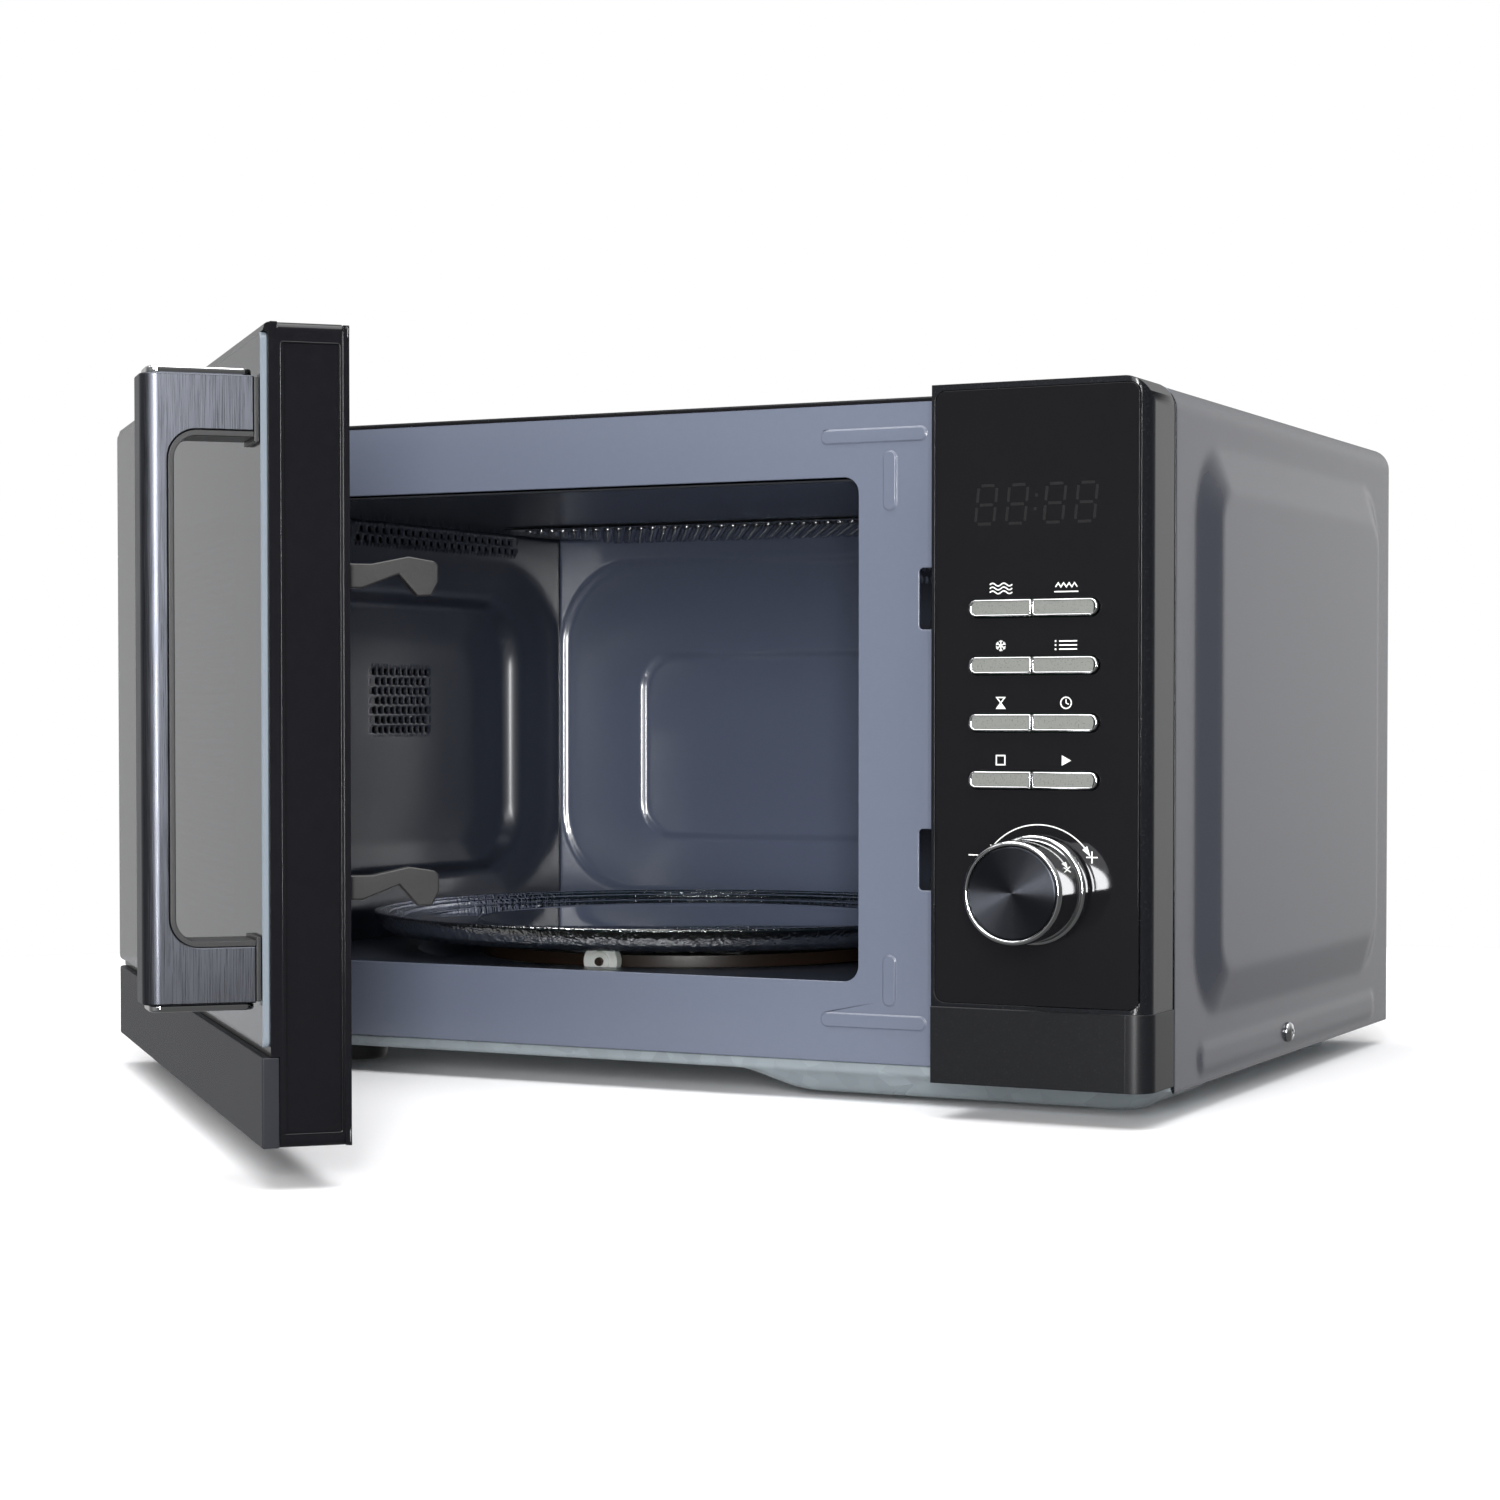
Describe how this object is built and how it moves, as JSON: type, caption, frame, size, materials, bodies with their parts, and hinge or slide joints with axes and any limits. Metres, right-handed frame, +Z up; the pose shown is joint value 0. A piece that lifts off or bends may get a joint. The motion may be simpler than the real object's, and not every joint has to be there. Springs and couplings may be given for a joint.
{
  "type": "microwave oven",
  "caption": "Countertop microwave oven with side-hinged door and C-shaped handle, glass turntable on a roller ring, ceiling grill, push keys and rotary knob.",
  "frame": {"origin": "on the standing plane, at the middle of the cabinet's width, below the front edge of the outer casing", "axes": "+X to the viewer's right, +Y towards the back, +Z up"},
  "size_m": [0.4523, 0.5846, 0.2605],
  "materials": {
    "casing_paint": "satin",
    "galvanised": "satin",
    "black_plastic": "fine texture",
    "enamel": "satin",
    "enamel_dark": "satin",
    "bare_steel": "satin",
    "quartz": "gloss",
    "mica": "matt",
    "aluminium": "satin",
    "core_steel": "matt",
    "copper": "varnished",
    "white_plastic": "satin",
    "latch_plastic": "matt",
    "tray_glass": "gloss",
    "ring_plastic": "satin",
    "bezel_plastic": "fine sparkle",
    "panel_lens": "gloss",
    "gloss_black": "gloss",
    "circuit_board": "matt",
    "polished": "polished",
    "spun_face": "spun",
    "key_plastic": "satin",
    "lamp_glass": "gloss",
    "front_glass": "gloss",
    "handle_metal": "brushed"
  },
  "bodies": {
    "cabinet": {"outer_casing": "casing_paint", "rear_panel": "casing_paint", "base_pan": "galvanised", "plastic_feet": "black_plastic", "front_plate": "enamel", "cavity_left_wall": "enamel_dark", "cavity_right_wall": "enamel", "cavity_rear_wall": "enamel", "cavity_ceiling": "enamel_dark", "cavity_floor": "enamel", "grill_guard": "bare_steel", "grill_heaters": "quartz", "grill_reflector": "bare_steel", "waveguide_cover": "mica", "waveguide": "bare_steel", "magnetron": "aluminium", "transformer_core": "core_steel", "transformer_windings": "copper", "hv_capacitor": "aluminium", "fan_shroud": "white_plastic", "fan_motor": "core_steel", "turntable_motor": "aluminium", "panel_housing": "bezel_plastic", "panel_glass": "panel_lens", "display_module": "gloss_black", "control_board": "circuit_board", "knob_encoder": "aluminium", "interlock_bracket": "white_plastic", "microswitches": "black_plastic", "cavity_lamp": "lamp_glass", "casing_screws": "polished", "cord_gland": "black_plastic", "hinge_brackets": "bare_steel"},
    "door": {"door_frame": "gloss_black", "door_glass": "front_glass", "door_trim": "bezel_plastic", "door_screen": "enamel_dark", "choke_cover": "black_plastic", "handle_bar": "handle_metal", "handle_liner": "black_plastic", "handle_caps": "polished", "door_hinge_pins": "bare_steel"},
    "latch": {"latch_bar": "latch_plastic"},
    "turntable": {"glass_tray": "tray_glass", "turntable_coupler": "black_plastic"},
    "roller_ring": {"roller_ring": "ring_plastic"},
    "wheel_1": {"roller_wheel_1": "white_plastic"},
    "wheel_2": {"roller_wheel_2": "white_plastic"},
    "wheel_3": {"roller_wheel_3": "white_plastic"},
    "knob": {"knob_body": "polished", "knob_face": "spun_face"},
    "fan": {"fan_blade": "latch_plastic"},
    "key_1": {"button_1": "key_plastic"},
    "key_2": {"button_2": "key_plastic"},
    "key_3": {"button_3": "key_plastic"},
    "key_4": {"button_4": "key_plastic"},
    "key_5": {"button_5": "key_plastic"},
    "key_6": {"button_6": "key_plastic"},
    "key_7": {"button_7": "key_plastic"},
    "key_8": {"button_8": "key_plastic"}
  },
  "joints": [
    {"name": "door_hinge", "type": "hinge", "parent": "cabinet", "child": "door", "pos_m": [-0.21075, -0.0145, 0.137], "axis": [0, 0, -1], "range_deg": [-45, 60]},
    {"name": "latch_lift", "type": "slide", "parent": "door", "child": "latch", "axis": [0, 0, 1], "range_m": [0, 0.004], "stiffness_N_per_m": 300, "springref_m": -0.002},
    {"name": "turntable_spin", "type": "hinge", "parent": "cabinet", "child": "turntable", "pos_m": [-0.044, 0.1375, 0.05], "axis": [0, 0, 1], "continuous": true},
    {"name": "roller_ring_spin", "type": "hinge", "parent": "cabinet", "child": "roller_ring", "pos_m": [-0.044, 0.1375, 0.0445], "axis": [0, 0, 1], "continuous": true},
    {"name": "wheel_1_roll", "type": "hinge", "parent": "roller_ring", "child": "wheel_1", "pos_m": [-0.03407, 0.04302, 0.0445], "axis": [0.1045, -0.9945, 0], "continuous": true},
    {"name": "wheel_2_roll", "type": "hinge", "parent": "roller_ring", "child": "wheel_2", "pos_m": [0.03286, 0.19334, 0.0445], "axis": [0.809, 0.5878, 0], "continuous": true},
    {"name": "wheel_3_roll", "type": "hinge", "parent": "roller_ring", "child": "wheel_3", "pos_m": [-0.13079, 0.17614, 0.0445], "axis": [-0.9135, 0.4067, 0], "continuous": true},
    {"name": "knob_turn", "type": "hinge", "parent": "cabinet", "child": "knob", "pos_m": [0.18, -0.045, 0.0824], "axis": [0, -1, 0], "continuous": true},
    {"name": "fan_spin", "type": "hinge", "parent": "cabinet", "child": "fan", "pos_m": [0.166, 0.25, 0.176], "axis": [0, 1, 0], "continuous": true},
    {"name": "key_1_press", "type": "slide", "parent": "cabinet", "child": "key_1", "axis": [0, 1, 0], "range_m": [0, 0.001], "stiffness_N_per_m": 800, "springref_m": -0.0005},
    {"name": "key_2_press", "type": "slide", "parent": "cabinet", "child": "key_2", "axis": [0, 1, 0], "range_m": [0, 0.001], "stiffness_N_per_m": 800, "springref_m": -0.0005},
    {"name": "key_3_press", "type": "slide", "parent": "cabinet", "child": "key_3", "axis": [0, 1, 0], "range_m": [0, 0.001], "stiffness_N_per_m": 800, "springref_m": -0.0005},
    {"name": "key_4_press", "type": "slide", "parent": "cabinet", "child": "key_4", "axis": [0, 1, 0], "range_m": [0, 0.001], "stiffness_N_per_m": 800, "springref_m": -0.0005},
    {"name": "key_5_press", "type": "slide", "parent": "cabinet", "child": "key_5", "axis": [0, 1, 0], "range_m": [0, 0.001], "stiffness_N_per_m": 800, "springref_m": -0.0005},
    {"name": "key_6_press", "type": "slide", "parent": "cabinet", "child": "key_6", "axis": [0, 1, 0], "range_m": [0, 0.001], "stiffness_N_per_m": 800, "springref_m": -0.0005},
    {"name": "key_7_press", "type": "slide", "parent": "cabinet", "child": "key_7", "axis": [0, 1, 0], "range_m": [0, 0.001], "stiffness_N_per_m": 800, "springref_m": -0.0005},
    {"name": "key_8_press", "type": "slide", "parent": "cabinet", "child": "key_8", "axis": [0, 1, 0], "range_m": [0, 0.001], "stiffness_N_per_m": 800, "springref_m": -0.0005}
  ],
  "couplings": [
    {"joint": "roller_ring_spin", "follows": "turntable_spin", "ratio": 0.5},
    {"joint": "wheel_1_roll", "follows": "turntable_spin", "ratio": -6.5068},
    {"joint": "wheel_2_roll", "follows": "turntable_spin", "ratio": -6.5068},
    {"joint": "wheel_3_roll", "follows": "turntable_spin", "ratio": -6.5068}
  ]
}
